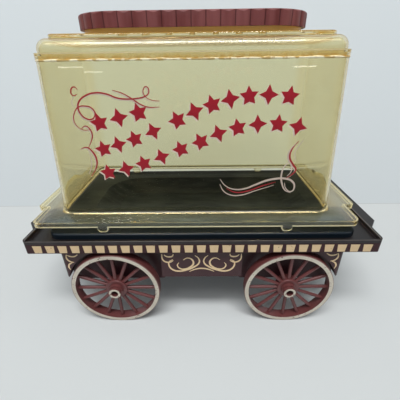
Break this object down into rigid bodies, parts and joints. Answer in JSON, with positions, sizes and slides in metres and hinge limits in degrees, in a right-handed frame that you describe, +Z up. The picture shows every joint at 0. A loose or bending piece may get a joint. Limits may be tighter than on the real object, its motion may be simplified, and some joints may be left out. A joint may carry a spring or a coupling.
{
  "type": "popcorn maker",
  "caption": "Wagon-style electric popcorn maker: spoked wheels, black popping pan in a trimmed deck, clear amber lift-off cover that serves as a bowl, and a fluted maroon canopy.",
  "frame": {"origin": "on the floor under the middle of the deck", "axes": "+Z up, -Y towards the front of the wagon, +X to the right seen from the front, along the wagon's length"},
  "size_m": [0.382, 0.198, 0.3152],
  "materials": {
    "deck_plastic": "charcoal moulded plastic, satin",
    "body_plastic": "dark maroon moulded plastic, satin",
    "sheet_steel": "zinc-plated sheet steel",
    "aluminium_label": "plain anodised label",
    "zinc_steel": "zinc-plated steel",
    "non_stick_pan": "black non-stick coating, semi-gloss",
    "element_sheath": "heat-dulled steel sheath",
    "thermostat_case": "nickel-plated case",
    "fuse_case": "aluminium case",
    "terminal_ceramic": "off-white ceramic",
    "brass": "plain brass",
    "inlet_plastic": "black phenolic",
    "inlet_contact": "nickel-plated brass",
    "lead_sleeve": "glass-fibre sleeving",
    "amber_plastic": "clear amber plastic, polished",
    "canopy_plastic": "maroon plastic, satin",
    "wheel_plastic": "maroon plastic with a cream painted rim"
  },
  "bodies": {
    "base": {"appliance_inlet": "inlet_plastic", "axle_push_nuts": "zinc_steel", "bottom_plate": "sheet_steel", "deck": "deck_plastic", "deck_screws": "zinc_steel", "element_nuts": "zinc_steel", "element_straps": "sheet_steel", "element_studs": "zinc_steel", "heat_shield": "sheet_steel", "heating_element": "element_sheath", "inlet_pins": "inlet_contact", "inlet_screws": "zinc_steel", "left_axle": "zinc_steel", "live_element_lead": "lead_sleeve", "live_inlet_lead": "lead_sleeve", "neutral_element_lead": "lead_sleeve", "neutral_inlet_lead": "lead_sleeve", "pan_nuts": "zinc_steel", "pan_studs": "zinc_steel", "plate_screws": "zinc_steel", "popping_pan": "non_stick_pan", "rating_plate": "aluminium_label", "right_axle": "zinc_steel", "terminal_block": "terminal_ceramic", "terminal_screws": "brass", "thermal_fuse": "fuse_case", "thermostat": "thermostat_case", "thermostat_lead": "lead_sleeve", "thermostat_screws": "zinc_steel", "wagon_body": "body_plastic"},
    "cover": {"cover_shell": "amber_plastic", "cover_dome": "amber_plastic"},
    "canopy": {"canopy": "canopy_plastic"},
    "front_left_wheel": {"front_left_wheel": "wheel_plastic"},
    "front_right_wheel": {"front_right_wheel": "wheel_plastic"},
    "back_left_wheel": {"back_left_wheel": "wheel_plastic"},
    "back_right_wheel": {"back_right_wheel": "wheel_plastic"}
  },
  "joints": [
    {"name": "cover_lift", "type": "slide", "parent": "base", "child": "cover", "axis": [0, 0, 1], "range_m": [0, 0.25]},
    {"name": "canopy_lift", "type": "slide", "parent": "cover", "child": "canopy", "axis": [0, 0, 1], "range_m": [0, 0.06]},
    {"name": "front_left_wheel_spin", "type": "hinge", "parent": "base", "child": "front_left_wheel", "pos_m": [-0.0966, -0.094, 0.0492], "axis": [0, 1, 0], "continuous": true},
    {"name": "front_right_wheel_spin", "type": "hinge", "parent": "base", "child": "front_right_wheel", "pos_m": [0.0966, -0.094, 0.0492], "axis": [0, 1, 0], "continuous": true},
    {"name": "back_left_wheel_spin", "type": "hinge", "parent": "base", "child": "back_left_wheel", "pos_m": [-0.0966, 0.094, 0.0492], "axis": [0, 1, 0], "continuous": true},
    {"name": "back_right_wheel_spin", "type": "hinge", "parent": "base", "child": "back_right_wheel", "pos_m": [0.0966, 0.094, 0.0492], "axis": [0, 1, 0], "continuous": true}
  ]
}
